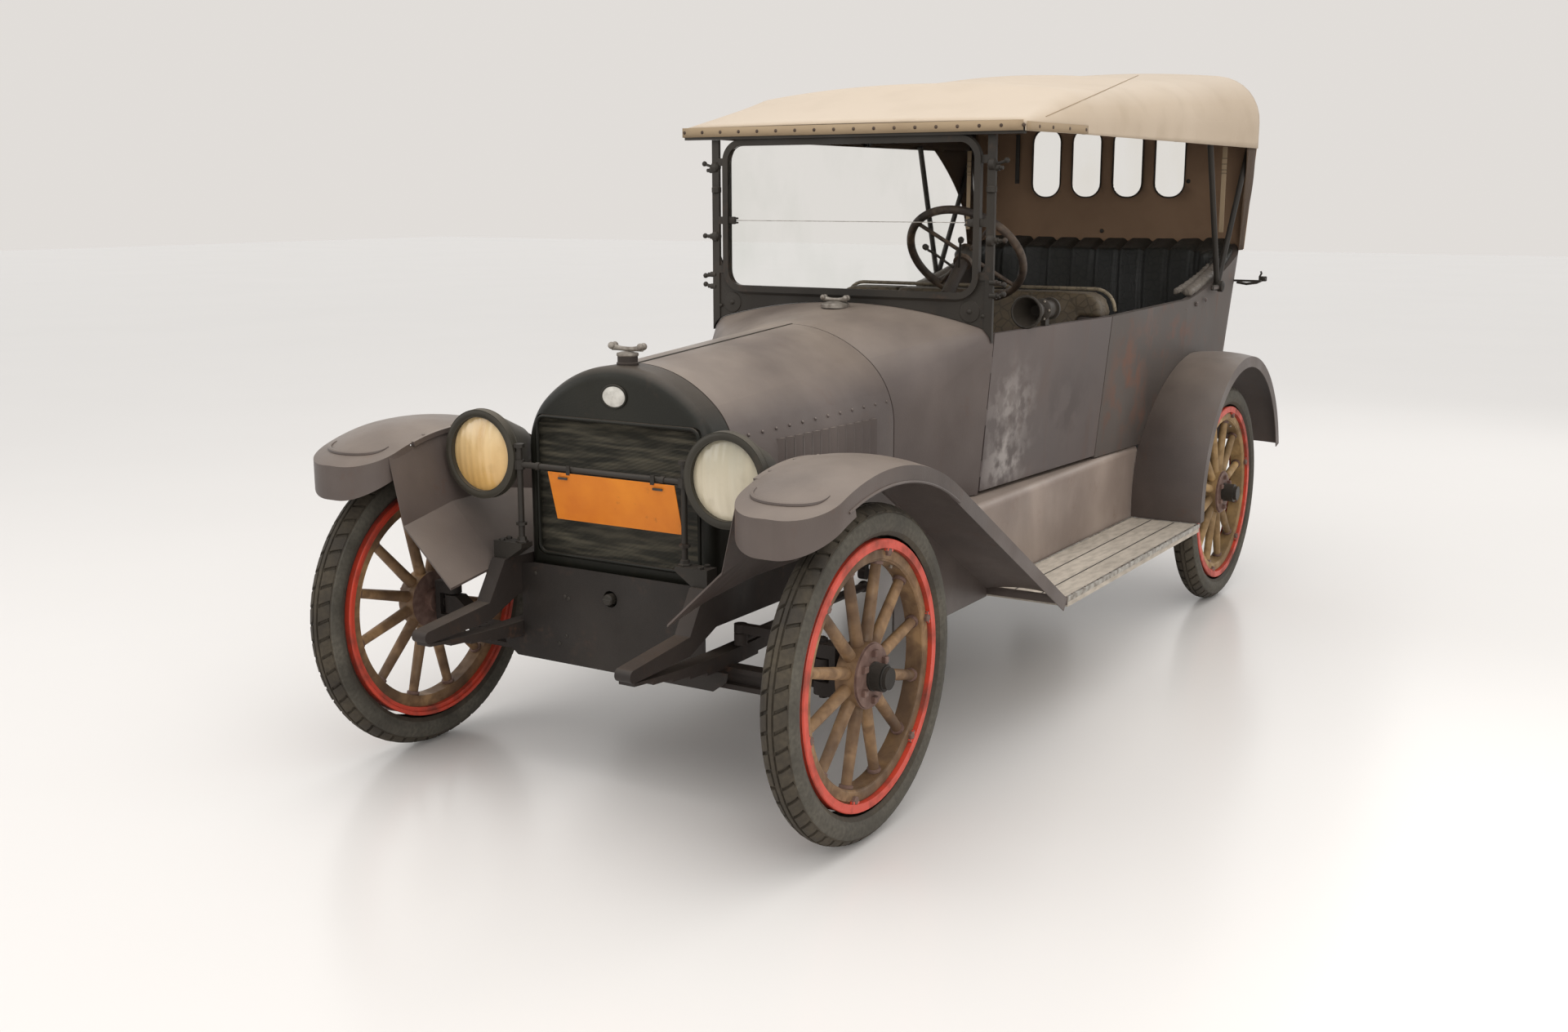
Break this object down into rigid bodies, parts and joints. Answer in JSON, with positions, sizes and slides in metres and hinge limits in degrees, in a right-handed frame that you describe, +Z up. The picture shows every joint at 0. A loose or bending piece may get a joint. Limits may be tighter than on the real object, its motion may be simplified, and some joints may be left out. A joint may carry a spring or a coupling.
{
  "type": "open touring car",
  "caption": "Early open touring car: arched hood, folding cloth top, wooden wheels, swept fenders and running boards.",
  "frame": {"origin": "on the ground, under the middle of the whole car's box", "axes": "+X to the car's left, +Y to its rear, +Z up; the wheels turn about X"},
  "size_m": [1.604, 3.917, 2.0459],
  "materials": {
    "tyre": "worn, dusty grey-green rubber",
    "wheel_wood": "varnished wood, red steel rim",
    "worn_paint": "faded dark paint with rust bloom",
    "fender_paint": "chalky black paint, rust at the edges",
    "frame_paint": "dull black paint under old grease",
    "dark_steel": "black enamel rubbed to steel",
    "core": "blackened radiator core",
    "old_wood": "dry dark boards",
    "helm_wood": "dark varnished rim on steel spokes",
    "leather": "cracked dark leather in pleats",
    "glass": "old clear glass",
    "lamp_glass": "fluted cream and amber lenses",
    "canvas": "tan rubberised canvas",
    "step_covering": "grey linoleum with metal trim",
    "plate_orange": null
  },
  "bodies": {
    "chassis": {"cowl": "worn_paint", "body_tub": "worn_paint", "radiator_shell": "worn_paint", "front_fenders": "fender_paint", "rear_fenders": "fender_paint", "splash_aprons": "fender_paint", "front_apron": "fender_paint", "frame_rails": "frame_paint", "leaf_springs": "frame_paint", "front_axle": "frame_paint", "rear_axle": "frame_paint", "exhaust": "frame_paint", "engine": "frame_paint", "top_frame": "dark_steel", "lamp_brackets": "dark_steel", "windshield_frame": "dark_steel", "steering_column": "dark_steel", "driver_controls": "dark_steel", "hood_hinge": "dark_steel", "headlamps": "dark_steel", "radiator_cap": "dark_steel", "radiator_core": "core", "dashboard": "old_wood", "firewall": "old_wood", "floor": "old_wood", "seat_boxes": "old_wood", "front_seat_cushion": "leather", "front_seat_back": "leather", "rear_seat_cushion": "leather", "rear_seat_back": "leather", "window_panes": "glass", "curtain_panes": "glass", "headlamp_lenses": "lamp_glass", "canopy": "canvas", "rear_curtain": "canvas", "running_boards": "step_covering", "licence_plate": "plate_orange"},
    "knuckle_left": {"knuckle_left": "frame_paint"},
    "knuckle_right": {"knuckle_right": "frame_paint"},
    "tie_rod": {"tie_rod": "frame_paint"},
    "drag_link": {"drag_link": "frame_paint"},
    "pitman_arm": {"pitman_arm": "frame_paint"},
    "front_left_wheel": {"wheel_front_left": "wheel_wood", "tyre_front_left": "tyre"},
    "front_right_wheel": {"wheel_front_right": "wheel_wood", "tyre_front_right": "tyre"},
    "rear_left_wheel": {"wheel_rear_left": "wheel_wood", "tyre_rear_left": "tyre"},
    "rear_right_wheel": {"wheel_rear_right": "wheel_wood", "tyre_rear_right": "tyre"},
    "steering_wheel": {"steering_wheel": "helm_wood"},
    "door_left": {"door_left": "worn_paint", "horn": "dark_steel"},
    "door_right": {"door_right": "worn_paint"},
    "hood_left": {"hood_left": "worn_paint"},
    "hood_right": {"hood_right": "worn_paint"}
  },
  "joints": [
    {"name": "steer_left", "type": "hinge", "parent": "chassis", "child": "knuckle_left", "pos_m": [0.606, -1.5265, 0.417], "axis": [0, 0, 1], "range_deg": [-25, 25]},
    {"name": "steer_right", "type": "hinge", "parent": "chassis", "child": "knuckle_right", "pos_m": [-0.606, -1.5265, 0.417], "axis": [0, 0, 1], "range_deg": [-25, 25]},
    {"name": "tie_rod_turn", "type": "hinge", "parent": "knuckle_left", "child": "tie_rod", "pos_m": [0.606, -1.3965, 0.327], "axis": [0, 0, 1], "range_deg": [-25, 25]},
    {"name": "drag_link_turn", "type": "hinge", "parent": "knuckle_left", "child": "drag_link", "pos_m": [0.365, -1.5265, 0.455], "axis": [0, 0, 1], "range_deg": [-25, 25]},
    {"name": "pitman_swing", "type": "hinge", "parent": "chassis", "child": "pitman_arm", "pos_m": [0.365, -0.8865, 0.644], "axis": [1, 0, 0], "range_deg": [-29, 29]},
    {"name": "steering_wheel_turn", "type": "hinge", "parent": "chassis", "child": "steering_wheel", "pos_m": [0.28, -0.0695, 1.362], "axis": [0, 0.7539, 0.657], "range_deg": [-350, 350]},
    {"name": "front_left_spin", "type": "hinge", "parent": "knuckle_left", "child": "front_left_wheel", "pos_m": [0.711, -1.5265, 0.417], "axis": [1, 0, 0], "continuous": true},
    {"name": "front_right_spin", "type": "hinge", "parent": "knuckle_right", "child": "front_right_wheel", "pos_m": [-0.711, -1.5265, 0.417], "axis": [1, 0, 0], "continuous": true},
    {"name": "rear_left_spin", "type": "hinge", "parent": "chassis", "child": "rear_left_wheel", "pos_m": [0.711, 1.3185, 0.417], "axis": [1, 0, 0], "continuous": true},
    {"name": "rear_right_spin", "type": "hinge", "parent": "chassis", "child": "rear_right_wheel", "pos_m": [-0.711, 1.3185, 0.417], "axis": [1, 0, 0], "continuous": true},
    {"name": "door_left_swing", "type": "hinge", "parent": "chassis", "child": "door_left", "pos_m": [0.48461, -0.3375, 0.9], "axis": [-0.0805, 0, -0.9968], "range_deg": [0, 65]},
    {"name": "door_right_swing", "type": "hinge", "parent": "chassis", "child": "door_right", "pos_m": [-0.48461, -0.3375, 0.9], "axis": [-0.0805, 0, 0.9968], "range_deg": [0, 65]},
    {"name": "hood_left_lift", "type": "hinge", "parent": "chassis", "child": "hood_left", "pos_m": [0, -1.4515, 1.1215], "axis": [0, -0.998, -0.0635], "range_deg": [0, 60]},
    {"name": "hood_right_lift", "type": "hinge", "parent": "chassis", "child": "hood_right", "pos_m": [0, -1.4515, 1.1215], "axis": [0, 0.998, 0.0635], "range_deg": [0, 60]}
  ],
  "couplings": [
    {"joint": "steer_right", "follows": "steer_left", "ratio": 1},
    {"joint": "tie_rod_turn", "follows": "steer_left", "ratio": -1},
    {"joint": "drag_link_turn", "follows": "steer_left", "ratio": -1},
    {"joint": "pitman_swing", "follows": "steer_left", "ratio": -1.14},
    {"joint": "steering_wheel_turn", "follows": "steer_left", "ratio": 14}
  ]
}
